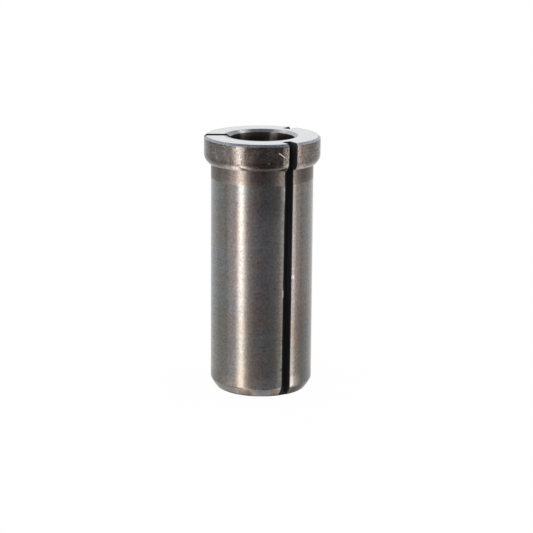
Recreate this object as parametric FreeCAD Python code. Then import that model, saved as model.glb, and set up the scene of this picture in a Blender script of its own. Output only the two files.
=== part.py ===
"""Reducing collet sleeve for a router: a flanged sleeve with a straight bore, one slit and two hinge grooves.

The sleeve stands on its foot with its axis on Z and its flange on top. All sizes are in millimetres.
"""
import FreeCAD, Part

import math
import os

# Driving sizes of the turned and ground blank: the wall brings the bore up to a body of 12.7, half an inch
overall_length = 32.0
bore_diameter = 8.0
wall_thickness = 2.35
flange_height = 3.33
flange_overhang = 0.85

# Edge breaks of the blank
mouth_bevel_width = 0.4
mouth_bevel_height = 0.33
foot_bore_bevel = 0.3
rim_bevel = 0.27
flange_corner_height = 1.1
flange_corner_width = 0.5
foot_bevel_height = 1.2
foot_bevel_width = 0.73
foot_bevel_bulge = 0.05
foot_edge_radius = 0.15

# Cuts along the sleeve, with angles from +X: the slit opens the wall, and the grooves are the hinges on which
# the sleeve closes. All of them lean a little, with their lower ends to the left as seen from outside.
slit_angle = 180.3
slit_width = 1.1
groove_angles = [-58.3, 56.2]
groove_width = 1.1
groove_depth = 0.85
cut_lean = 0.52

# Edge break along the outer edges of every cut: its depth into the wall and its width beside the cut
break_depth = 0.03
break_width = 0.03

# Dents from use: each has the radius of a ball and the depth to which it is pressed in.
# The chip sits on the left edge of the first groove, and the nick on the flange's rim.
chip_height = 3.5
chip_ball_radius = 0.5
chip_depth = 0.13
nick_angle = -152.0
nick_ball_radius = 0.22
nick_depth = 0.12

# How far a cutting tool runs past the face that it leaves
run_past = 1.0

# Sizes that follow from the ones above
bore_radius = bore_diameter / 2
body_radius = bore_radius + wall_thickness
flange_radius = body_radius + flange_overhang
flange_underside = overall_length - flange_height


def point(radius, height):
    """A point of the half section, which lies in the XZ plane."""
    return FreeCAD.Vector(radius, 0, height)


def line(start, end):
    return Part.LineSegment(start, end).toShape()


def flange_corner():
    """Arc of the flange's lower corner: tangent to its rim, and running out on its underside at an angle."""
    arc_radius = (flange_corner_height ** 2 + flange_corner_width ** 2) / (2 * flange_corner_width)
    centre = point(flange_radius - arc_radius, flange_underside + flange_corner_height)
    half_sweep = math.asin(flange_corner_height / arc_radius) / 2
    middle = centre + point(arc_radius * math.cos(half_sweep), -arc_radius * math.sin(half_sweep))
    start = point(flange_radius - flange_corner_width, flange_underside)
    end = point(flange_radius, flange_underside + flange_corner_height)
    return start, end, Part.Arc(start, middle, end).toShape()


def foot_edge():
    """Round between the foot's flat face and its long bevel."""
    bevel_angle = math.atan2(foot_bevel_height, foot_bevel_width)
    corner_radius = body_radius - foot_bevel_width
    cut_back = foot_edge_radius * math.tan(bevel_angle / 2)
    centre = point(corner_radius - cut_back, foot_edge_radius)
    half_turn = bevel_angle / 2
    middle = centre + point(foot_edge_radius * math.sin(half_turn), -foot_edge_radius * math.cos(half_turn))
    start = point(corner_radius - cut_back, 0)
    end = point(corner_radius + cut_back * math.cos(bevel_angle), cut_back * math.sin(bevel_angle))
    return start, end, Part.Arc(start, middle, end).toShape()


def foot_bevel(start):
    """Long bevel above the foot's edge: it bulges a little, so it meets the body at a blunter corner."""
    end = point(body_radius, foot_bevel_height)
    along = end - start
    outward = point(along.z, -along.x).normalize()
    middle = (start + end) * 0.5 + outward * foot_bevel_bulge
    return Part.Arc(start, middle, end).toShape()


def blank():
    """Sleeve before it is cut: one half section turned about the axis."""
    foot_start, foot_end, foot_arc = foot_edge()
    corner_start, corner_end, corner_arc = flange_corner()
    outside = [
        point(body_radius, foot_bevel_height),
        point(body_radius, flange_underside),
        corner_start,
    ]
    top_and_bore = [
        corner_end,
        point(flange_radius, overall_length - rim_bevel),
        point(flange_radius - rim_bevel, overall_length),
        point(bore_radius + mouth_bevel_width, overall_length),
        point(bore_radius, overall_length - mouth_bevel_height),
        point(bore_radius, foot_bore_bevel),
        point(bore_radius + foot_bore_bevel, 0),
        foot_start,
    ]
    edges = [foot_arc, foot_bevel(foot_end)]
    edges += [line(start, end) for start, end in zip(outside, outside[1:])]
    edges += [corner_arc]
    edges += [line(start, end) for start, end in zip(top_and_bore, top_and_bore[1:])]
    section = Part.Face(Part.Wire(Part.__sortEdges__(edges)))
    return section.revolve(FreeCAD.Vector(0, 0, 0), FreeCAD.Vector(0, 0, 1), 360)


def lengthwise_cut(inner, width):
    """Path of a saw that runs along the whole sleeve and cuts down to this distance from the axis."""
    outer = flange_radius + run_past
    path = Part.makeBox(outer - inner, width, overall_length + 2 * run_past)
    path.translate(FreeCAD.Vector(inner, -width / 2, -run_past))
    return path


def edge_break(width, radius, low, high):
    """Flared mouth of a cut: it breaks both edges where the cut leaves a round wall of this radius."""
    edge = math.sqrt(radius ** 2 - (width / 2) ** 2)
    inner = edge - break_depth
    outer = edge + run_past
    half_inner = width / 2
    half_outer = half_inner + (outer - inner) * break_width / break_depth
    corners = [
        FreeCAD.Vector(inner, -half_inner, low),
        FreeCAD.Vector(outer, -half_outer, low),
        FreeCAD.Vector(outer, half_outer, low),
        FreeCAD.Vector(inner, half_inner, low),
    ]
    mouth = Part.Face(Part.makePolygon(corners + corners[:1]))
    return mouth.extrude(FreeCAD.Vector(0, 0, high - low))


def cut_tools(inner, width):
    """Everything that is taken away along one cut."""
    return [
        lengthwise_cut(inner, width),
        edge_break(width, body_radius, -run_past, flange_underside),
        edge_break(width, flange_radius, flange_underside, overall_length + run_past),
    ]


def chip():
    """Ball pressed into the left edge of a groove that lies on +X."""
    edge = math.sqrt(body_radius ** 2 - (groove_width / 2) ** 2)
    centre = FreeCAD.Vector(edge + chip_ball_radius - chip_depth, -groove_width / 2, chip_height)
    return Part.makeSphere(chip_ball_radius, centre)


def nick():
    """Ball pressed into the rim's bevel on +X, square to the bevel."""
    lift = (nick_ball_radius - nick_depth) / math.sqrt(2)
    middle = point(flange_radius - rim_bevel / 2, overall_length - rim_bevel / 2)
    return Part.makeSphere(nick_ball_radius, middle + point(lift, lift))


def turn(tool, angle, lean=0.0):
    """Lean a tool in its own plane, about the sleeve's top, and turn it from +X to its place."""
    tool.rotate(FreeCAD.Vector(0, 0, overall_length), FreeCAD.Vector(-1, 0, 0), lean)
    tool.rotate(FreeCAD.Vector(0, 0, 0), FreeCAD.Vector(0, 0, 1), angle)
    return tool


def collet_sleeve():
    tools = [turn(tool, slit_angle, cut_lean) for tool in cut_tools(bore_radius / 2, slit_width)]
    for angle in groove_angles:
        tools += [turn(tool, angle, cut_lean) for tool in cut_tools(body_radius - groove_depth, groove_width)]
    tools += [turn(chip(), groove_angles[0], cut_lean), turn(nick(), nick_angle)]
    sleeve = blank()
    for tool in tools:
        sleeve = sleeve.cut(tool)
    return sleeve


os.makedirs("parts", exist_ok=True)
sleeve = collet_sleeve()
sleeve.exportStep("parts/collet_sleeve.step")
print("collet_sleeve", len(sleeve.Solids), "solid", round(sleeve.Volume, 2), "mm3", sleeve.isValid())
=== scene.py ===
"""Looks of the collet sleeve: its steel finishes, a pale floor, the studio round it and the camera."""

import math

import bpy
import numpy as np
from mathutils import Matrix, Vector

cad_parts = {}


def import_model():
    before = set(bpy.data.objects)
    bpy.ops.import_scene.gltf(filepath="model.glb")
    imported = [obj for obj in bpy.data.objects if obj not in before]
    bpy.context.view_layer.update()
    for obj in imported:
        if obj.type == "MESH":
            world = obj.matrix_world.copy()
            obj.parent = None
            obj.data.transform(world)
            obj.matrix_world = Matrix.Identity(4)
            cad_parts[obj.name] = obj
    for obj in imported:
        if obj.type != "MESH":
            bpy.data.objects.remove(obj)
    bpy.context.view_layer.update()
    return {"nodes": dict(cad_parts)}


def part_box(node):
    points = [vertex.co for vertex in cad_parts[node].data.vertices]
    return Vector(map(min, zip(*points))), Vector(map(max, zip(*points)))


MM = 0.001

# Sizes of the sleeve that its finishes follow, in millimetres
LENGTH = 32.0
BORE_RADIUS = 4.0
BODY_RADIUS = 6.35
FLANGE_RADIUS = 7.2
FLANGE_UNDERSIDE = 28.67
MOUTH_BEVEL_WIDTH = 0.4
MOUTH_BEVEL_HEIGHT = 0.33
RIM_BEVEL = 0.27
FOOT_CORNER = 1.04
CUT_HALF_WIDTH = 0.55
CUT_LEAN = 0.52
SLIT_ANGLE = 180.3
FRONT_GROOVE_ANGLE = -58.3
REAR_GROOVE_ANGLE = 56.2
GROOVE_FLOOR = 5.5
CHIP_HEIGHT = 3.5
CHIP_RADIUS = 0.5
CHIP_DEPTH = 0.13
EDGE_ROUND = 0.05

# Cuts: angle from +X, and the radius at which their walls, painted dark as shade, begin
CUTS = (
    (SLIT_ANGLE, 1.0),
    (FRONT_GROOVE_ANGLE, GROOVE_FLOOR - 0.05),
    (REAR_GROOVE_ANGLE, GROOVE_FLOOR - 0.05),
)

# Tints of the ground body: height in millimetres and colour
BODY_TINTS = [
    (0.0, 0.585, 0.555, 0.515),
    (4.0, 0.56, 0.53, 0.49),
    (9.0, 0.54, 0.515, 0.485),
    (13.0, 0.53, 0.52, 0.52),
    (19.0, 0.53, 0.52, 0.52),
    (25.0, 0.53, 0.52, 0.51),
]

# Painted highlights and shade of each zone, as tones: bearing from the front in degrees, positive to the
# right, and a factor on its colour
NECK_TONES = [
    (-180, 0.85),
    (-77, 0.64),
    (-66, 0.80),
    (-55, 1.0),
    (-36, 1.8),
    (-25, 1.25),
    (-18, 1.0),
    (0, 0.92),
    (8, 1.25),
    (21, 2.0),
    (30, 0.9),
    (40, 0.62),
    (60, 0.82),
    (77, 0.66),
]
CORNER_TONES = [
    (-180, 1.0),
    (-60, 1.0),
    (-50, 1.3),
    (-44, 1.9),
    (-38, 2.08),
    (-32, 2.08),
    (-27, 2.5),
    (-23, 2.25),
    (-20.5, 1.95),
    (-18.5, 1.5),
    (-16, 1.0),
    (-9, 0.62),
    (0, 0.9),
    (8, 0.7),
    (15, 0.4),
    (24, 0.2),
    (28, 0.4),
    (33, 1.0),
    (38, 2.05),
    (46, 2.07),
    (56, 1.2),
    (90, 1.0),
]
MOUTH_TONES = [
    (-180, 0.95),
    (-163, 1.2),
    (-154, 1.8),
    (-144, 2.7),
    (-138, 1.5),
    (-132, 0.65),
    (-75, 0.62),
    (-55, 0.9),
    (-42, 1.1),
    (90, 1.2),
    (130, 1.3),
    (145, 1.9),
    (158, 1.9),
    (168, 1.1),
]
BORE_TONES = [
    (-180, 0.75),
    (-160, 1.1),
    (-149, 2.2),
    (-141, 4.2),
    (-134, 1.0),
    (-90, 0.7),
    (90, 0.7),
    (135, 0.6),
    (150, 0.75),
    (157, 3.4),
    (162, 4.0),
    (169, 0.8),
]
FOOT_TONES = [
    (-180, 1.0),
    (-60, 1.0),
    (-40, 1.2),
    (-34, 1.45),
    (-28, 1.75),
    (-23, 1.2),
    (-18, 0.66),
    (-13, 0.58),
    (-9, 1.2),
    (-4, 1.9),
    (5, 2.0),
    (9, 1.3),
    (14, 0.7),
    (19, 0.58),
    (30, 0.4),
    (42, 0.35),
    (60, 0.8),
    (90, 1.0),
]
FLANGE_TONES = [
    (-180, 1.0),
    (-57, 1.0),
    (-50, 1.3),
    (-42, 1.0),
    (-34, 0.93),
    (-28, 1.06),
    (-21, 1.45),
    (-17, 1.05),
    (-13, 1.02),
    (-5, 0.86),
    (0, 0.6),
    (7, 0.8),
    (13, 0.52),
    (19, 0.22),
    (23, 0.55),
    (27, 1.5),
    (34, 1.2),
    (42, 1.08),
    (50, 1.45),
    (61, 1.17),
    (72, 1.0),
]
UPPER_TONES = [
    (-180, 1.0),
    (-14, 0.98),
    (-6, 0.84),
    (1, 0.74),
    (10, 0.76),
    (19, 0.68),
    (24, 0.9),
    (32, 1.0),
]
LOWER_TONES = [
    (-180, 1.0),
    (-80, 0.95),
    (-57, 0.96),
    (-42, 0.91),
    (-31, 0.86),
    (-20, 0.92),
    (-10, 0.92),
    (0, 1.06),
    (14, 0.87),
    (20, 1.0),
    (30, 0.85),
    (46, 0.8),
    (75, 0.9),
    (100, 1.0),
]
HEEL_TONES = [
    (-180, 1.0),
    (-100, 0.9),
    (-80, 0.72),
    (-62, 0.8),
    (-54, 0.97),
    (-42, 1.18),
    (-25, 0.87),
    (-14, 0.95),
    (-1, 1.45),
    (9, 1.22),
    (16, 1.02),
    (38, 1.3),
    (46, 1.25),
    (53, 0.8),
    (60, 0.83),
    (78, 0.72),
    (110, 1.0),
]

# Colours of the finishes, with the painted highlights, glints and shade among them
WHITE = (1.0, 1.0, 1.0, 1)
WARM = (1.05, 0.99, 0.95, 1)
COOL = (0.965, 1.0, 1.03, 1)
NECK_COLOUR = (0.43, 0.385, 0.36, 1)
FLANGE_DARK = (0.46, 0.415, 0.39, 1)
FLANGE_LIGHT = (0.54, 0.495, 0.47, 1)
BURNISHED = (0.92, 0.85, 0.80, 1)
PIT_COLOUR = (0.09, 0.07, 0.06, 1)
RIM_SHADED_COLOUR = (0.29, 0.32, 0.37, 1)
MOUTH_COLOUR = (0.38, 0.37, 0.40, 1)
MOUTH_HIGHLIGHT = (0.88, 0.81, 0.78, 1)
TOP_COLOUR = (0.665, 0.68, 0.69, 1)
BORE_SHADE = (0.06, 0.055, 0.05, 1)
BORE_MOUTH = (0.15, 0.135, 0.125, 1)
BORE_STREAK = (0.22, 0.20, 0.185, 1)
RIM_SHADOW_COLOUR = (0.2, 0.19, 0.19, 1)
CONTACT_SHADOW_COLOUR = (0.1, 0.095, 0.09, 1)
EDGE_WEAR_AND_HIGHLIGHT = (0.80, 0.76, 0.73, 1)
CHIP_SHADE = (0.16, 0.145, 0.135, 1)
SCRATCH_HIGHLIGHT = (1.0, 0.93, 0.86, 1)
SHADOW_COLOUR = (0.03, 0.025, 0.02, 1)
MARK_COLOUR = (0.3, 0.29, 0.28, 1)
BURR_GLINT_COLOUR = (1.0, 0.97, 0.93, 1)
CUT_SHADE = (0.0075, 0.0075, 0.0085, 1)
CUT_WALL_SHADE = (0.028, 0.028, 0.031, 1)
CUT_MIDDLE_SHADE = (0.042, 0.042, 0.05, 1)

# Heights between which a finish, a painted highlight or a painted shade begins: at the first there is nothing
# of it, and at the second it is whole
NECK_EDGE = (26.72, 26.88)
HEEL_FADE = (3.0, 1.8)
LOWER_FADE = (14.0, 9.0)
UPPER_FADE = (21.5, 24.5)
CORNER_TOP = (FLANGE_UNDERSIDE + 0.8, FLANGE_UNDERSIDE + 0.4)
PITS_START = (FLANGE_UNDERSIDE + 0.3, FLANGE_UNDERSIDE + 0.9)
STRIP_FADE = (8.0, 13.0)
MIDDLE_SHADE_LOW = (11.5, 14.0)
MIDDLE_SHADE_HIGH = (24.0, 20.0)
CONTACT_SHADOW_FADE = (0.35, 0.1)

# The same with the values that it has at the first height and at the second
NECK_FADE = (27.7, 26.8, 1.0, 1.2)
WORN_GLINT_FADE = (0.5, 7.0, 0.4, 0.8)

# Upward part of the surface's direction, from a slope to a level face
LEVEL_FACE = (0.9, 0.95)

# Ring round the mouth painted in the bevel's shaded colour: its outer radius, and how much wider it gets for
# each millimetre to the left
MOUTH_RING = 4.58
MOUTH_SHIFT = 0.035

# Widths, depths and shares of the smaller finishes, painted highlights and painted shadows
EDGE_WEAR_GLINT = 0.24
STRIP_WIDTH = 0.5
STRIP_SHARE = 0.4
BURNISH_WIDTH = 0.75
BURNISH_WANDER = 0.7
BURNISH_SHARE = 0.6
RIM_SHADOW_HEIGHT = 0.16
RIM_SHADOW_SHARE = 0.4
CONTACT_SHADOW_SHARE = 0.45
BORE_MOUTH_DEPTH = 1.1

# Place across the front groove where its right wall begins, and radii where the sleeve's outer wall does
RIGHT_WALL = (0.45, 0.54)
OUTER_WALL = (BODY_RADIUS - 0.2, BODY_RADIUS - 0.1)

# Heights where the bright line at the top of the foot bevel begins
FOOT_LINE = (FOOT_CORNER - 0.25, FOOT_CORNER - 0.1)

# Noises of the finishes: cycles per millimetre along X, Y and Z, detail and roughness
TEXTURES = {
    "lines": ((0.11, 0.11, 5.0), 3.0, 0.6),
    "fine_lines": ((0.3, 0.3, 16.0), 2.0, 0.5),
    "cloud": ((0.3, 0.3, 0.22), 2.0, 0.5),
    "speckle": ((4.2, 4.2, 3.6), 2.0, 0.6),
    "mottle": ((7.5, 7.5, 6.5), 3.0, 0.6),
    "pitting": ((12.0, 12.0, 11.0), 2.0, 0.55),
    "smear": ((1.0, 1.0, 0.8), 3.0, 0.55),
    "streaks": ((0.55, 0.55, 0.06), 2.0, 0.6),
    "edge": ((0.5, 0.5, 2.4), 3.0, 0.65),
    "grain": ((14.0, 14.0, 14.0), 2.0, 0.5),
}
RING_TEXTURE = ((9.0, 1.0, 1.0), 3.0, 0.6)
RING_WAVER = 0.6

# How strongly each noise lightens and darkens the steel
GRAIN = {
    "lines": 0.32,
    "fine_lines": 0.2,
    "speckle": 1.1,
    "top_speckle": 0.25,
    "mottle": 1.3,
    "pitting": 1.5,
    "rings": 0.22,
}

# Relief in millimetres
RELIEF = {
    "lines": 0.0006,
    "cloud": 0.004,
    "smear": 0.0008,
    "mottle": 0.0016,
    "pitting": 0.0016,
    "pits": -0.004,
    "worn_glint": 0.01,
    "rings": 0.0012,
    "grain": 0.01,
}

# Values of a noise between which a finish begins
CLOUD_EDGES = (-0.12, 0.12)
SMEAR_EDGES = (-0.1, 0.12)
STREAK_EDGES = (0.05, 0.25)
PIT_EDGES = (0.1, 0.13)
FINE_PIT_EDGES = (0.08, 0.11)
WORN_GLINT_EDGES = (-0.06, 0.14)

# Tones between which the mouth gets a painted highlight and the flange's corner catches the light
MOUTH_HIGHLIGHT_TONES = (1.1, 2.3)
LIT_CORNER = (1.95, 2.25)

# How much less metallic the dull places are, and how metallic the cuts are
LIT_CORNER_DULL = 0.65
FOOT_DULL = (0.03, 0.07)
WORN_GLINT_DULL = 0.35
SCRATCH_DULL = 0.6
MARK_DULL = 0.1
CUT_METAL = 0.3

# Roughness of the ground body by height and of the other zones, its unevenness, and the sheen of the grinding
WEAR_LOWER = (2.0, 17.0)
WEAR_UPPER = (17.0, 25.0)
WEAR_FOOT = 0.34
WEAR_MIDDLE = 0.322
WEAR_TOP = 0.295
NECK_ROUGHNESS = 0.3
FLANGE_ROUGHNESS = 0.255
TOP_ROUGHNESS = 0.25
BORE_ROUGHNESS = 0.4
CUT_ROUGHNESS = 0.62
ROUGHNESS_GRAIN = {"speckle": 0.05, "cloud": 0.04, "smear": 0.12}
GRINDING_SHEEN = 0.806
GRINDING_TURN = 0.25

# Marks: how far their ends fade and where their sides lie, in half widths, and how near the wall they stay
MARK_END = 0.8
MARK_SIDES = (1.3, 0.5)
MARK_REACH = (0.12, 0.06)
MARK_SHARE = 0.25

# Scratch on the flange with its painted highlight and painted shadow, and on the body a line, a smudge beside
# the front groove and a line:
# angle from +X and height of both ends, half width, and the radius they lie on
FLANGE_SCRATCH = (-73.8, 31.0, -67.6, 30.4, 0.06, FLANGE_RADIUS)
FLANGE_SCRATCH_SHADOW = (-73.8, 30.87, -68.2, 30.3, 0.06, FLANGE_RADIUS)
BODY_MARKS = [
    (-121.7, 8.66, -101.2, 8.84, 0.045, BODY_RADIUS),
    (-66.8, 1.2, -66.4, 4.9, 0.4, BODY_RADIUS),
    (-36.6, 7.5, -22.0, 7.15, 0.05, BODY_RADIUS),
]

# Burrs and rubbed spots on the body, painted bright as glints: angle from +X, lower and upper end, half width
# and strength
BURR_GLINTS = [
    (-52.3, 14.92, 15.5, 0.2, 1.0),
    (-64.9, 12.75, 13.75, 0.12, 0.55),
    (-65.1, 24.7, 27.0, 0.24, 0.22),
    (-64.7, 26.1, 26.5, 0.14, 0.4),
    (-131.6, 9.78, 9.98, 0.09, 0.6),
]

# Camera: it stands off the axis by this much and looks down at the sleeve
CAMERA_DISTANCE = 233.89
CAMERA_ABOVE_TOP = 41.196
CAMERA_PITCH = 13.905
CAMERA_YAW = 0.1542
CAMERA_ROLL = 0.4120
LENS = 129.867
SENSOR_WIDTH = 36
CLIP = (0.01, 20)

# Studio walls that the metal mirrors, by bearing from the camera in degrees, positive to the right.
# The lower band runs from the floor line down, and the upper band stands above it.
LOWER_BAND = [
    (-180, 0.95, 0.96, 0.97),
    (-165, 0.95, 0.96, 0.97),
    (-152, 0.58, 0.59, 0.60),
    (-143, 0.47, 0.47, 0.47),
    (-135, 0.40, 0.41, 0.40),
    (-120, 0.24, 0.24, 0.23),
    (-108, 0.09, 0.12, 0.11),
    (-98, 0.25, 0.24, 0.23),
    (-88, 0.03, 0.04, 0.03),
    (-75, 0.24, 0.20, 0.20),
    (-63, 0.13, 0.11, 0.14),
    (-57, 0.00, 0.00, 0.00),
    (-53, 2.22, 1.55, 1.50),
    (-49, 2.29, 2.66, 2.46),
    (-45, 2.91, 2.78, 2.59),
    (-41, 1.32, 0.98, 0.86),
    (-36, 0.03, 0.03, 0.03),
    (-20, 0.04, 0.00, 0.00),
    (0, 0.00, 0.00, 0.00),
    (20, 0.00, 0.00, 0.00),
    (38, 0.00, 0.00, 0.00),
    (46, 0.14, 0.10, 0.10),
    (56, 0.00, 0.00, 0.00),
    (61, 1.94, 1.82, 1.73),
    (65, 2.99, 2.88, 2.68),
    (69, 2.06, 1.98, 1.86),
    (74, 2.36, 2.16, 2.06),
    (82, 0.14, 0.03, 0.00),
    (92, 0.39, 0.36, 0.37),
    (100, 0.11, 0.09, 0.07),
    (110, 0.22, 0.20, 0.19),
    (122, 0.17, 0.19, 0.19),
    (133, 0.37, 0.39, 0.38),
    (142, 0.48, 0.49, 0.49),
    (150, 0.58, 0.58, 0.59),
    (160, 0.80, 0.80, 0.81),
    (170, 0.90, 0.91, 0.92),
]
UPPER_BAND = [
    (-180, 0.00, 0.00, 0.00),
    (-150, 0.06, 0.06, 0.06),
    (-120, 0.38, 0.34, 0.33),
    (-100, 1.02, 0.98, 0.95),
    (-80, 2.12, 2.09, 2.05),
    (-62, 2.85, 2.93, 2.84),
    (-48, 2.39, 2.58, 2.54),
    (-35, 1.48, 1.66, 1.65),
    (-18, 0.92, 0.98, 0.98),
    (0, 0.69, 0.67, 0.73),
    (20, 0.70, 0.70, 0.80),
    (45, 1.01, 1.09, 1.06),
    (65, 1.28, 1.39, 1.28),
    (85, 1.06, 1.12, 1.06),
    (100, 0.51, 0.57, 0.52),
    (120, 0.17, 0.21, 0.18),
    (150, 0.03, 0.03, 0.03),
]
OVERHEAD = (0.21, 0.225, 0.26)
UNDERFOOT = (0.26, 0.26, 0.27)
ROOM_RADIUS = 1500.0
WALL_BEARING_STEP = 1.5
WALL_HEIGHT_STEP = 3.0

# Soft edges of the studio walls in degrees: the opening behind by bearing, and the others by height angle
BEHIND_EDGE = (95, 110)
BACKDROP_EDGE = (-3, 1)
UPPER_EDGE = (2, 14)
OVERHEAD_EDGE = (48, 66)
UNDERFOOT_EDGE = (66, 84)
UNDER_BEHIND_EDGE = (30, 55)

# Share of the light from below that is there all round, and how open a wall is when it is left out
UNDERFOOT_SHARE = 0.9
OPEN_SHARE = 0.99

# Floor: radii in millimetres, its grid, and how much of it shows as plain white
FLOOR_HUB = 5.0
FLOOR_RADIUS = 3000.0
FLOOR_RINGS = 24
FLOOR_SPOKES = 96
FLOOR_GLOW = 0.965


def node(tree, kind, inputs=(), **settings):
    """Adds a node, sets its properties, and fills its inputs with values or with other nodes' sockets."""
    made = tree.nodes.new(kind)
    for name, value in settings.items():
        setattr(made, name, value)
    for name, value in dict(inputs).items():
        if isinstance(value, bpy.types.NodeSocket):
            tree.links.new(value, made.inputs[name])
        else:
            made.inputs[name].default_value = value
    return made


def calc(tree, operation, *values):
    """One step of arithmetic."""
    return node(tree, "ShaderNodeMath", enumerate(values), operation=operation).outputs[0]


def chain(tree, operation, first, *others):
    """The same step of arithmetic from each value to the next."""
    for other in others:
        first = calc(tree, operation, first, other)
    return first


def product(tree, *values):
    return chain(tree, "MULTIPLY", *values)


def total(tree, *values):
    return chain(tree, "ADD", *values)


def largest(tree, *values):
    return chain(tree, "MAXIMUM", *values)


def less(tree, first, second):
    return calc(tree, "SUBTRACT", first, second)


def size_of(tree, value):
    """A value without its sign."""
    return calc(tree, "ABSOLUTE", value)


def ramp(tree, value, low, high, to_low=0.0, to_high=1.0):
    """Smooth step of a value from low to high."""
    limits = {"Value": value, "From Min": low, "From Max": high, "To Min": to_low, "To Max": to_high}
    return node(tree, "ShaderNodeMapRange", limits, interpolation_type="SMOOTHSTEP").outputs["Result"]


def band(tree, value, low, high, soft):
    """One between low and high, and nothing outside."""
    above = ramp(tree, value, low - soft, low + soft)
    below = ramp(tree, value, high + soft, high - soft)
    return product(tree, above, below)


def blend(tree, share, first, second, kind="RGBA", way="MIX"):
    """Mixes two colours or two values by a share."""
    places = (0, 6, 7) if kind == "RGBA" else (0, 2, 3)
    inputs = zip(places, (share, first, second))
    made = node(tree, "ShaderNodeMix", inputs, data_type=kind, blend_type=way)
    return made.outputs[2 if kind == "RGBA" else 0]


def blend_value(tree, share, first, second):
    return blend(tree, share, first, second, kind="FLOAT")


def shaded(tree, colour, shade):
    """Multiplies a colour by a shade."""
    return blend(tree, 1.0, colour, shade, way="MULTIPLY")


def split(tree, vector):
    """The X, Y and Z of a vector."""
    return node(tree, "ShaderNodeSeparateXYZ", {0: vector}).outputs


def grey(tree, value):
    """Colour with one value in all three channels."""
    return node(tree, "ShaderNodeCombineXYZ", {0: value, 1: value, 2: value}).outputs[0]


def noise(tree, place, stretch, detail, roughness):
    """Noise centred on nothing, on a place that is stretched by these factors per millimetre."""
    scaled = node(tree, "ShaderNodeVectorMath", {0: place, 1: stretch}, operation="MULTIPLY").outputs[0]
    inputs = {"Vector": scaled, "Scale": 1.0, "Detail": detail, "Roughness": roughness}
    return less(tree, node(tree, "ShaderNodeTexNoise", inputs).outputs[0], 0.5)


def new_material(name):
    """Material without any nodes, and its node tree."""
    material = bpy.data.materials.new(name)
    material.use_nodes = True
    material.node_tree.nodes.clear()
    return material, material.node_tree


def new_group(name, takes, gives):
    """Empty node group whose inputs and outputs are plain values with these names."""
    tree = bpy.data.node_groups.new(name, "ShaderNodeTree")
    for label in takes:
        tree.interface.new_socket(label, in_out="INPUT", socket_type="NodeSocketFloat")
    for label in gives:
        tree.interface.new_socket(label, in_out="OUTPUT", socket_type="NodeSocketFloat")
    start = tree.nodes.new("NodeGroupInput")
    end = tree.nodes.new("NodeGroupOutput")
    return tree, start.outputs, end.inputs


def use_group(tree, name, inputs=()):
    """Places a node group, and gives its outputs."""
    return node(tree, "ShaderNodeGroup", inputs, node_tree=bpy.data.node_groups[name]).outputs


def millimetres(tree):
    """Place on the object in millimetres, as one vector."""
    place = node(tree, "ShaderNodeTexCoord").outputs["Object"]
    return node(tree, "ShaderNodeVectorMath", {0: place, "Scale": 1 / MM}, operation="SCALE").outputs[0]


def ring_place_group():
    """Radius, height and angle from +X of the point that is shaded."""
    tree, _, gives = new_group("ring_place", [], ["Radius", "Height", "Angle"])
    x, y, z = split(tree, millimetres(tree))
    radius = calc(tree, "SQRT", total(tree, product(tree, x, x), product(tree, y, y)))
    tree.links.new(radius, gives["Radius"])
    tree.links.new(z, gives["Height"])
    tree.links.new(calc(tree, "ARCTAN2", y, x), gives["Angle"])


def cut_place_group():
    """How far the point lies outwards along a cut at a given angle, and how far off its middle plane."""
    tree, takes, gives = new_group("cut_place", ["Angle"], ["Outwards", "Sideways"])
    x, y, z = split(tree, millimetres(tree))
    cosine = calc(tree, "COSINE", takes["Angle"])
    sine = calc(tree, "SINE", takes["Angle"])
    outwards = total(tree, product(tree, x, cosine), product(tree, y, sine))
    flat = less(tree, product(tree, y, cosine), product(tree, x, sine))
    lean = math.radians(CUT_LEAN)
    drop = product(tree, less(tree, z, LENGTH), math.sin(lean))
    sideways = less(tree, product(tree, flat, math.cos(lean)), drop)
    tree.links.new(outwards, gives["Outwards"])
    tree.links.new(sideways, gives["Sideways"])


def mark_group():
    """Soft-edged straight mark on a round wall between two ends, given by angle and height."""
    takes = ["Start Angle", "Start Height", "End Angle", "End Height", "Half Width", "Wall Radius"]
    tree, given, gives = new_group("mark", takes, ["Mark"])
    ring = use_group(tree, "ring_place")
    wall = given["Wall Radius"]
    half = given["Half Width"]
    run_x = product(tree, less(tree, given["End Angle"], given["Start Angle"]), wall)
    run_z = less(tree, given["End Height"], given["Start Height"])
    run = calc(tree, "SQRT", total(tree, product(tree, run_x, run_x), product(tree, run_z, run_z)))
    off_x = product(tree, less(tree, ring["Angle"], given["Start Angle"]), wall)
    off_z = less(tree, ring["Height"], given["Start Height"])
    forward = total(tree, product(tree, off_x, run_x), product(tree, off_z, run_z))
    sideways = less(tree, product(tree, off_z, run_x), product(tree, off_x, run_z))
    along = calc(tree, "DIVIDE", forward, run)
    across = calc(tree, "DIVIDE", sideways, run)
    fade = product(tree, half, MARK_END)
    ends = product(tree, ramp(tree, along, 0.0, fade), ramp(tree, less(tree, run, along), 0.0, fade))
    outer, inner = [product(tree, half, share) for share in MARK_SIDES]
    line = ramp(tree, size_of(tree, across), outer, inner)
    near = ramp(tree, size_of(tree, less(tree, ring["Radius"], wall)), *MARK_REACH)
    tree.links.new(product(tree, ends, line, near), gives["Mark"])


def mark(tree, start_angle, start_height, end_angle, end_height, half_width, wall):
    """Share of one mark, with its angles in degrees."""
    inputs = {
        "Start Angle": math.radians(start_angle),
        "Start Height": start_height,
        "End Angle": math.radians(end_angle),
        "End Height": end_height,
        "Half Width": half_width,
        "Wall Radius": wall,
    }
    return use_group(tree, "mark", inputs)["Mark"]


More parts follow.
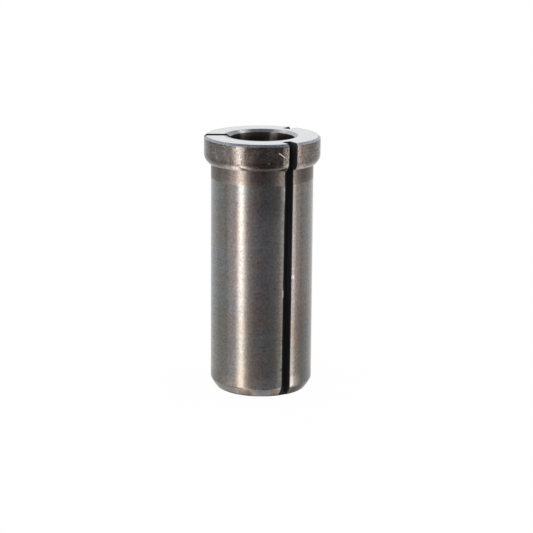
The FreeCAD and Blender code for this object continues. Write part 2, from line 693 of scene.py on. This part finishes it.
def zones(tree):
    """Where each finish lies on the sleeve, as shares from 0 to 1; the smallest numbers soften its edges."""
    ring = use_group(tree, "ring_place")
    radius = ring["Radius"]
    height = ring["Height"]
    upright = split(tree, node(tree, "ShaderNodeNewGeometry").outputs["True Normal"])[2]
    mouth_low = LENGTH - MOUTH_BEVEL_HEIGHT
    rim_low = LENGTH - RIM_BEVEL
    rim_inside = FLANGE_RADIUS - RIM_BEVEL
    found = {"radius": radius, "height": height, "x": split(tree, millimetres(tree))[0]}
    found["bore"] = ramp(tree, radius, BORE_RADIUS + 0.03, BORE_RADIUS + 0.01)
    found["mouth"] = product(
        tree,
        band(tree, radius, BORE_RADIUS + 0.02, BORE_RADIUS + MOUTH_BEVEL_WIDTH, 0.005),
        ramp(tree, height, mouth_low - 0.02, mouth_low),
    )
    found["top"] = product(
        tree,
        ramp(tree, height, LENGTH - 0.03, LENGTH - 0.01),
        ramp(tree, upright, *LEVEL_FACE),
    )
    found["rim"] = product(
        tree,
        ramp(tree, radius, rim_inside - 0.005, rim_inside),
        ramp(tree, height, rim_low - 0.01, rim_low),
        ramp(tree, upright, *reversed(LEVEL_FACE)),
    )
    found["flange"] = product(
        tree,
        ramp(tree, height, FLANGE_UNDERSIDE - 0.02, FLANGE_UNDERSIDE),
        ramp(tree, radius, BODY_RADIUS - 0.05, BODY_RADIUS),
    )
    found["corner"] = product(tree, found["flange"], ramp(tree, height, *CORNER_TOP))
    found["neck"] = ramp(tree, height, *NECK_EDGE)
    found["foot"] = ramp(tree, height, FOOT_CORNER + 0.03, FOOT_CORNER - 0.03)
    walls = []
    edges = []
    for angle, inmost in CUTS:
        place = use_group(tree, "cut_place", {"Angle": math.radians(angle)})
        off = size_of(tree, place["Sideways"])
        outside = ramp(tree, place["Outwards"], inmost, inmost + 0.03)
        # Each cut's painted shade reaches 0.05 to 0.1 mm past its wall onto the outside, as a shaded edge
        wall = ramp(tree, off, CUT_HALF_WIDTH + 0.1, CUT_HALF_WIDTH + 0.05)
        edge = ramp(tree, off, CUT_HALF_WIDTH + EDGE_WEAR_GLINT, CUT_HALF_WIDTH + 0.1)
        walls.append(product(tree, wall, outside))
        edges.append(product(tree, edge, outside))
        if angle == FRONT_GROOVE_ANGLE:
            found["front_off"] = place["Sideways"]
            found["front_out"] = place["Outwards"]
    found["cut"] = largest(tree, *walls)
    found["edges"] = largest(tree, *edges)
    return found


def chip_zone(tree, found):
    """The chip on the front groove's left edge, as a ball that the point lies in."""
    reach = math.sqrt(BODY_RADIUS ** 2 - CUT_HALF_WIDTH ** 2) + CHIP_RADIUS - CHIP_DEPTH
    out = less(tree, found["front_out"], reach)
    side = total(tree, found["front_off"], CUT_HALF_WIDTH)
    up = less(tree, found["height"], CHIP_HEIGHT)
    square = total(tree, product(tree, out, out), product(tree, side, side), product(tree, up, up))
    return ramp(tree, calc(tree, "SQRT", square), CHIP_RADIUS + 0.03, CHIP_RADIUS + 0.01)


def textures(tree):
    """Noises that the finishes draw on; the rings of the top face run round it and waver a little."""
    place = millimetres(tree)
    made = {name: noise(tree, place, *values) for name, values in TEXTURES.items()}
    radius = use_group(tree, "ring_place")["Radius"]
    waver = product(tree, made["cloud"], RING_WAVER)
    wavering = node(tree, "ShaderNodeCombineXYZ", {0: radius, 1: waver}).outputs[0]
    made["rings"] = noise(tree, wavering, *RING_TEXTURE)
    return made


def from_table(tree, value, low, high, stops):
    """Colour by a value from low to high, straight between the stops of a table."""
    limits = {"Value": value, "From Min": low, "From Max": high}
    share = node(tree, "ShaderNodeMapRange", limits).outputs["Result"]
    made = node(tree, "ShaderNodeValToRGB", {"Fac": share})
    points = made.color_ramp.elements
    while len(points) < len(stops):
        points.new(0.5)
    for point, (stop, red, green, blue) in zip(points, stops):
        point.position = stop
        point.color = (red, green, blue, 1)
    return made.outputs["Color"]


def by_height(tree, height, stops):
    """Colour from a table of heights in millimetres and colours."""
    return from_table(tree, height, 0.0, LENGTH, [(stop / LENGTH, *colour) for stop, *colour in stops])


def by_bearing(tree, stops):
    """Painted highlight and shade as a tone, from a table of bearings in degrees and shares."""
    x, y, _ = split(tree, millimetres(tree))
    bearing = calc(tree, "ARCTAN2", x, product(tree, y, -1.0))
    shares = [((stop + 180) / 360, tone, tone, tone) for stop, tone in stops]
    return from_table(tree, bearing, -math.pi, math.pi, shares)


def body_colour(tree, found, made):
    """Ground body: tints by height, cloudy, with painted highlights and shade by bearing in three height
    bands, and a painted highlight left of the front groove.
    """
    height = found["height"]
    body = by_height(tree, height, BODY_TINTS)
    cloudy = ramp(tree, made["cloud"], *CLOUD_EDGES)
    body = blend(tree, cloudy, shaded(tree, body, WARM), shaded(tree, body, COOL))
    heel = ramp(tree, height, *HEEL_FADE)
    lower = blend(tree, heel, by_bearing(tree, LOWER_TONES), by_bearing(tree, HEEL_TONES))
    tone = blend(tree, ramp(tree, height, *LOWER_FADE), WHITE, lower)
    tone = blend(tree, ramp(tree, height, *UPPER_FADE), tone, by_bearing(tree, UPPER_TONES))
    body = shaded(tree, body, tone)
    # Painted highlight in a strip left of the front groove, fading in between 8 and 13 mm high
    left = product(tree, found["front_off"], -1.0)
    strip = band(tree, left, CUT_HALF_WIDTH, CUT_HALF_WIDTH + STRIP_WIDTH, 0.1)
    beside = product(tree, strip, ramp(tree, height, *STRIP_FADE), STRIP_SHARE)
    return blend(tree, beside, body, EDGE_WEAR_AND_HIGHLIGHT)


def neck_colour(tree, found):
    """Unground brown band with painted highlights and shade by bearing, which lightens a little downwards."""
    neck = shaded(tree, by_bearing(tree, NECK_TONES), NECK_COLOUR)
    return shaded(tree, neck, grey(tree, ramp(tree, found["height"], *NECK_FADE)))


def flange_colour(tree, made):
    """Two browns in smears, with painted highlights and shade by bearing."""
    bronze = blend(tree, ramp(tree, made["smear"], *SMEAR_EDGES), FLANGE_DARK, FLANGE_LIGHT)
    return shaded(tree, by_bearing(tree, FLANGE_TONES), bronze)


def bore_colour(tree, found, made):
    """Bore painted dark as shade, with lengthwise streaks, painted lighter near the mouth, and with painted
    highlights and shade by bearing.
    """
    bore = blend(tree, ramp(tree, made["streaks"], *STREAK_EDGES), BORE_SHADE, BORE_STREAK)
    near_mouth = ramp(tree, found["height"], LENGTH - BORE_MOUTH_DEPTH, LENGTH - MOUTH_BEVEL_HEIGHT)
    return shaded(tree, by_bearing(tree, BORE_TONES), blend(tree, near_mouth, bore, BORE_MOUTH))


def cut_colour(tree, found):
    """Painted shade in the cuts, nearly black; from the front groove's right wall on it is lighter, and
    lighter again at mid height.
    """
    height = found["height"]
    middle_shade = product(tree, ramp(tree, height, *MIDDLE_SHADE_LOW), ramp(tree, height, *MIDDLE_SHADE_HIGH))
    wall = blend(tree, middle_shade, CUT_WALL_SHADE, CUT_MIDDLE_SHADE)
    return blend(tree, ramp(tree, found["front_off"], *RIGHT_WALL), CUT_SHADE, wall)


def sleeve_level(tree, found, made):
    """How much the noises lighten and darken the outside of the sleeve and its top face."""
    top = found["top"]
    outside = less(tree, 1.0, top)
    pitted = product(tree, found["flange"], outside)
    return total(
        tree,
        1.0,
        product(tree, made["lines"], outside, GRAIN["lines"]),
        product(tree, made["fine_lines"], outside, GRAIN["fine_lines"]),
        product(tree, made["speckle"], blend_value(tree, top, GRAIN["speckle"], GRAIN["top_speckle"])),
        product(tree, pitted, made["mottle"], GRAIN["mottle"]),
        product(tree, pitted, made["pitting"], GRAIN["pitting"]),
        product(tree, top, made["rings"], GRAIN["rings"]),
    )


def sleeve_colour(tree, found, made, worn_glint, pits):
    """Base colour of every zone, laid over each other from the body to the cuts."""
    height = found["height"]
    flange = found["flange"]
    rim_low = LENGTH - RIM_BEVEL
    colour = blend(tree, found["neck"], body_colour(tree, found, made), neck_colour(tree, found))
    colour = blend(tree, flange, colour, flange_colour(tree, made))
    colour = blend(tree, found["burnish"], colour, BURNISHED)
    colour = blend(tree, pits, colour, PIT_COLOUR)
    # Painted highlights and shade on the flange's lower corner, by bearing
    colour = blend(tree, found["corner"], colour, shaded(tree, found["corner_tone"], FLANGE_DARK))
    # Rim bevel painted darker and bluer as shade
    colour = blend(tree, found["rim"], colour, RIM_SHADED_COLOUR)
    # Painted highlights and shade on the mouth bevel, by bearing
    mouth_light = by_bearing(tree, MOUTH_TONES)
    mouth_shade = shaded(tree, grey(tree, calc(tree, "MINIMUM", mouth_light, 1.0)), MOUTH_COLOUR)
    mouth = blend(tree, ramp(tree, mouth_light, *MOUTH_HIGHLIGHT_TONES), mouth_shade, MOUTH_HIGHLIGHT)
    colour = blend(tree, found["mouth"], colour, mouth)
    colour = blend(tree, found["top"], colour, TOP_COLOUR)
    # Ring on the top face painted in the bevel's shaded colour, so that the bevel looks wider on the left
    shifted = total(tree, found["radius"], product(tree, found["x"], MOUTH_SHIFT))
    ring = product(tree, found["top"], ramp(tree, shifted, MOUTH_RING + 0.06, MOUTH_RING - 0.06))
    colour = blend(tree, ring, colour, mouth_shade)
    # Painted shadow in a thin band under the rim bevel
    rim_shadow = product(tree, flange, band(tree, height, rim_low - RIM_SHADOW_HEIGHT, rim_low - 0.01, 0.02), RIM_SHADOW_SHARE)
    colour = blend(tree, rim_shadow, colour, RIM_SHADOW_COLOUR)
    # Painted reflections on the foot bevel, by bearing
    colour = blend(tree, found["foot"], colour, shaded(tree, colour, by_bearing(tree, FOOT_TONES)))
    # Painted contact shadow at the very foot
    colour = blend(tree, ramp(tree, height, *CONTACT_SHADOW_FADE, to_high=CONTACT_SHADOW_SHARE), colour, CONTACT_SHADOW_COLOUR)
    colour = shaded(tree, colour, grey(tree, sleeve_level(tree, found, made)))
    # Bore painted dark as shade
    colour = blend(tree, found["bore"], colour, bore_colour(tree, found, made))
    # Worn cut edges, also painted bright as glints
    colour = blend(tree, worn_glint, colour, EDGE_WEAR_AND_HIGHLIGHT)
    # Painted shade in the cuts
    colour = blend(tree, found["cut"], colour, cut_colour(tree, found))
    # Chip painted darker as shade in its hollow
    return blend(tree, chip_zone(tree, found), colour, CHIP_SHADE)


def marked(tree, colour):
    """Adds the scratches, the flange scratch's painted highlight and shadow, the burrs' painted glints and
    the smudge to the colour, and says how dull they leave the metal.
    """
    scratch_highlight = mark(tree, *FLANGE_SCRATCH)
    colour = blend(tree, mark(tree, *FLANGE_SCRATCH_SHADOW), colour, SHADOW_COLOUR)
    colour = blend(tree, scratch_highlight, colour, SCRATCH_HIGHLIGHT)
    dull = product(tree, scratch_highlight, SCRATCH_DULL)
    for values in BODY_MARKS:
        line = mark(tree, *values)
        colour = blend(tree, product(tree, line, MARK_SHARE), colour, MARK_COLOUR)
        dull = largest(tree, dull, product(tree, line, MARK_DULL))
    # Burrs and rubbed spots painted bright as glints
    for angle, lower, upper, half_width, strength in BURR_GLINTS:
        line = product(tree, mark(tree, angle, lower, angle, upper, half_width, BODY_RADIUS), strength)
        colour = blend(tree, line, colour, BURR_GLINT_COLOUR)
    return colour, dull


def ground_roughness(tree, height, made):
    """Roughness of the ground body, which falls towards the top, with a little unevenness."""
    upper = blend_value(tree, ramp(tree, height, *WEAR_UPPER), WEAR_MIDDLE, WEAR_TOP)
    wear = blend_value(tree, ramp(tree, height, *WEAR_LOWER), WEAR_FOOT, upper)
    speckle = product(tree, made["speckle"], ROUGHNESS_GRAIN["speckle"])
    cloud = product(tree, made["cloud"], ROUGHNESS_GRAIN["cloud"])
    return total(tree, wear, speckle, cloud)


def turned_roughness(tree, found, made):
    """Roughness of every zone but the ground body."""
    smeared = total(tree, FLANGE_ROUGHNESS, product(tree, made["smear"], ROUGHNESS_GRAIN["smear"]))
    turned = blend_value(tree, found["flange"], NECK_ROUGHNESS, smeared)
    turned = blend_value(tree, found["top"], turned, TOP_ROUGHNESS)
    turned = blend_value(tree, found["bore"], turned, BORE_ROUGHNESS)
    return blend_value(tree, found["cut"], turned, CUT_ROUGHNESS)


def steel():
    """Spring steel: ground body, brown unground band, pitted flange, faced top, and cuts and bore painted
    dark as shade.
    """
    material, tree = new_material("sleeve_steel")
    found = zones(tree)
    made = textures(tree)
    height = found["height"]
    flange = found["flange"]
    # Painted highlights and shade on the flange's lower corner, by bearing
    found["corner_tone"] = by_bearing(tree, CORNER_TONES)

    # Pits on the flange, which end above its smooth lower corner
    pitted = product(tree, flange, ramp(tree, height, *PITS_START))
    deep = largest(tree, ramp(tree, made["mottle"], *PIT_EDGES), ramp(tree, made["pitting"], *FINE_PIT_EDGES))
    pits = product(tree, pitted, deep)

    # Burnished patch beside the front groove on the flange, and worn edges along every cut that are also
    # painted bright as glints
    side = less(tree, product(tree, found["front_off"], -1.0), product(tree, made["edge"], BURNISH_WANDER))
    patch = band(tree, side, CUT_HALF_WIDTH, CUT_HALF_WIDTH + BURNISH_WIDTH, 0.12)
    found["burnish"] = product(tree, flange, patch, BURNISH_SHARE)
    outer = ramp(tree, found["radius"], *OUTER_WALL)
    broken = ramp(tree, made["edge"], *WORN_GLINT_EDGES)
    worn_glint = product(tree, found["edges"], outer, broken, ramp(tree, height, *WORN_GLINT_FADE))

    colour, dull = marked(tree, sleeve_colour(tree, found, made, worn_glint, pits))

    # Relief in millimetres: lines everywhere outside, pits and waves on the flange, rings on the top face
    relief = total(
        tree,
        product(tree, made["lines"], RELIEF["lines"]),
        product(tree, made["cloud"], RELIEF["cloud"]),
        product(tree, pitted, made["smear"], RELIEF["smear"]),
        product(tree, pitted, made["mottle"], RELIEF["mottle"]),
        product(tree, pitted, made["pitting"], RELIEF["pitting"]),
        product(tree, pits, RELIEF["pits"]),
        product(tree, worn_glint, RELIEF["worn_glint"]),
        product(tree, found["top"], made["rings"], RELIEF["rings"]),
        product(tree, found["cut"], made["grain"], RELIEF["grain"]),
    )

    # Where the metal is dull: marks, worn edges with painted glints, the lit part of the flange's corner, and
    # the foot bevel
    lit = ramp(tree, found["corner_tone"], *LIT_CORNER)
    lit_corner = product(tree, found["corner"], lit, LIT_CORNER_DULL)
    foot_line = product(tree, found["foot"], blend_value(tree, ramp(tree, height, *FOOT_LINE), *FOOT_DULL))
    dull = largest(tree, dull, product(tree, worn_glint, WORN_GLINT_DULL), lit_corner, foot_line)
    metal = less(tree, blend_value(tree, found["cut"], 1.0, CUT_METAL), dull)

    rounded = node(tree, "ShaderNodeBevel", {"Radius": EDGE_ROUND * MM}, samples=4).outputs[0]
    bump = {"Strength": 1.0, "Distance": MM, "Height": relief, "Normal": rounded}
    normal = node(tree, "ShaderNodeBump", bump).outputs[0]
    tangent = node(tree, "ShaderNodeTangent", direction_type="RADIAL", axis="Z").outputs[0]
    common = {"Base Color": colour, "Metallic": metal, "Normal": normal, "Tangent": tangent}
    ground = {
        "Roughness": ground_roughness(tree, height, made),
        "Anisotropic": GRINDING_SHEEN,
        "Anisotropic Rotation": GRINDING_TURN,
    }
    turned = {"Roughness": turned_roughness(tree, found, made)}
    body = node(tree, "ShaderNodeBsdfPrincipled", {**common, **ground})
    rest = node(tree, "ShaderNodeBsdfPrincipled", {**common, **turned})
    other = largest(tree, found["neck"], found["bore"], found["cut"])
    both = node(tree, "ShaderNodeMixShader", {0: other, 1: body.outputs[0], 2: rest.outputs[0]})
    node(tree, "ShaderNodeOutputMaterial", {"Surface": both.outputs[0]})
    return material


def new_piece(name, points, faces, material):
    """Object from its points and faces, with one material."""
    mesh = bpy.data.meshes.new(name)
    mesh.from_pydata(points, [], faces)
    mesh.materials.append(material)
    made = bpy.data.objects.new(name, mesh)
    bpy.context.scene.collection.objects.link(made)
    return made


def floor():
    """Flat round floor: the radius grows with one parameter and the bearing with the other."""
    rings = np.geomspace(FLOOR_HUB, FLOOR_RADIUS, FLOOR_RINGS) * MM
    bearings = np.linspace(0, 2 * math.pi, FLOOR_SPOKES, endpoint=False)
    r, a = np.meshgrid(rings, bearings, indexing="ij")
    points = np.stack([r * np.cos(a), r * np.sin(a), np.zeros_like(r)], -1).reshape(-1, 3)
    points = np.vstack([points, [[0.0, 0.0, 0.0]]])
    count = len(bearings)
    ring, step = np.meshgrid(np.arange(len(rings) - 1), np.arange(count), indexing="ij")
    ahead = (step + 1) % count
    inner = ring * count
    outer = (ring + 1) * count
    corners = [inner + step, outer + step, outer + ahead, inner + ahead]
    quads = np.stack(corners, -1).reshape(-1, 4)
    hub = len(points) - 1
    fan = np.stack([np.full(count, hub), np.arange(count), (np.arange(count) + 1) % count], -1)
    material, tree = new_material("pale_floor")
    path = node(tree, "ShaderNodeLightPath").outputs
    seen = largest(tree, path["Is Camera Ray"], path["Is Glossy Ray"], path["Is Transmission Ray"])
    plain = node(tree, "ShaderNodeBsdfDiffuse", {"Color": WHITE})
    glow = node(tree, "ShaderNodeEmission", {"Color": WHITE, "Strength": 1.0})
    share = product(tree, seen, FLOOR_GLOW)
    both = node(tree, "ShaderNodeMixShader", {0: share, 1: plain.outputs[0], 2: glow.outputs[0]})
    node(tree, "ShaderNodeOutputMaterial", {"Surface": both.outputs[0]})
    made = new_piece("floor", points.tolist(), quads.tolist() + fan.tolist(), material)
    made.visible_glossy = False
    made.visible_shadow = False


def band_light(rows, bearings):
    """Light of one band at each bearing, straight between the rows of its table."""
    rows = np.array(rows + [(rows[0][0] + 360,) + rows[0][1:]], float)
    return np.stack([np.interp(bearings, rows[:, 0], rows[:, k]) for k in (1, 2, 3)], -1)


def smooth(value, low, high):
    """Smooth step of an array from low to high."""
    share = np.clip((value - low) / (high - low), 0, 1)
    return share * share * (3 - 2 * share)


def room(middle):
    """Ball of studio walls, by bearing and height angle, open to the white backdrop behind the sleeve."""
    bearings = np.arange(-180, 180, WALL_BEARING_STEP)
    heights = np.arange(-90, 90.1, WALL_HEIGHT_STEP)
    b, h = np.meshgrid(bearings, heights, indexing="ij")
    behind = smooth(np.abs(b), *BEHIND_EDGE)
    over = smooth(h, *OVERHEAD_EDGE)
    below = UNDERFOOT_SHARE * smooth(-h, *UNDERFOOT_EDGE)
    under = np.maximum(below, behind * smooth(-h, *UNDER_BEHIND_EDGE))
    backdrop = behind * smooth(h, *BACKDROP_EDGE) * (1 - over)
    upper = smooth(h, *UPPER_EDGE)
    walls = (1 - over) * (1 - under) * (1 - backdrop)
    light = (walls * (1 - upper))[..., None] * band_light(LOWER_BAND, bearings)[:, None]
    light += (walls * upper)[..., None] * band_light(UPPER_BAND, bearings)[:, None]
    light += over[..., None] * OVERHEAD
    light += (under * (1 - over))[..., None] * UNDERFOOT
    light += backdrop[..., None]
    side = np.radians(b)
    up = np.radians(h)
    way = np.stack([np.sin(side) * np.cos(up), -np.cos(side) * np.cos(up), np.sin(up)], -1)
    points = way * ROOM_RADIUS * MM + np.array(middle)
    rows, columns = b.shape
    step, ring = np.meshgrid(np.arange(rows), np.arange(columns - 1), indexing="ij")
    ahead = (step + 1) % rows
    here = step * columns + ring
    there = ahead * columns + ring
    corners = [here, here + 1, there + 1, there]
    quads = np.stack(corners, -1).reshape(-1, 4)
    closed = backdrop.reshape(-1)[quads].min(1) < OPEN_SHARE
    material, tree = new_material("studio_walls")
    lit = node(tree, "ShaderNodeAttribute", attribute_name="light").outputs["Color"]
    glow = node(tree, "ShaderNodeEmission", {"Color": lit, "Strength": 1.0})
    node(tree, "ShaderNodeOutputMaterial", {"Surface": glow.outputs[0]})
    made = new_piece("studio_walls", points.reshape(-1, 3).tolist(), quads[closed].tolist(), material)
    stored = made.data.attributes.new("light", "FLOAT_COLOR", "POINT")
    stored.data.foreach_set("color", np.concatenate([light, np.ones_like(light[..., :1])], -1).ravel())
    for kind in ("camera", "diffuse", "transmission", "volume_scatter", "shadow"):
        setattr(made, "visible_" + kind, False)


def world():
    """White backdrop of even light."""
    made = bpy.data.worlds.new("white_backdrop")
    bpy.context.scene.world = made
    made.use_nodes = True
    made.node_tree.nodes.clear()
    light = node(made.node_tree, "ShaderNodeBackground", {"Color": WHITE, "Strength": 1.0})
    node(made.node_tree, "ShaderNodeOutputWorld", {"Surface": light.outputs[0]})


def camera(top):
    """Pinhole camera at the photograph's viewing angle."""
    pitch = math.radians(CAMERA_PITCH)
    yaw = math.radians(CAMERA_YAW)
    roll = math.radians(CAMERA_ROLL)
    ahead = Vector((math.sin(yaw) * math.cos(pitch), math.cos(yaw) * math.cos(pitch), -math.sin(pitch)))
    right = ahead.cross(Vector((0, 0, 1))).normalized()
    up = right.cross(ahead)
    rolled_right = right * math.cos(roll) + up * math.sin(roll)
    rolled_up = up * math.cos(roll) - right * math.sin(roll)
    lens = bpy.data.cameras.new("camera")
    lens.lens = LENS
    lens.sensor_width = SENSOR_WIDTH
    lens.clip_start, lens.clip_end = CLIP
    made = bpy.data.objects.new("camera", lens)
    bpy.context.scene.collection.objects.link(made)
    turn = Matrix((rolled_right, rolled_up, -ahead)).transposed().to_4x4()
    made.matrix_world = Matrix.Translation((0, -CAMERA_DISTANCE * MM, top + CAMERA_ABOVE_TOP * MM)) @ turn
    bpy.context.scene.camera = made


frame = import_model()
low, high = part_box("collet_sleeve")
bpy.context.scene.view_settings.view_transform = "Standard"
ring_place_group()
cut_place_group()
mark_group()
sleeve = frame["nodes"]["collet_sleeve"]
sleeve.data.materials.clear()
sleeve.data.materials.append(steel())
floor()
room(Vector((0, 0, (low.z + high.z) / 2)))
world()
camera(high.z)
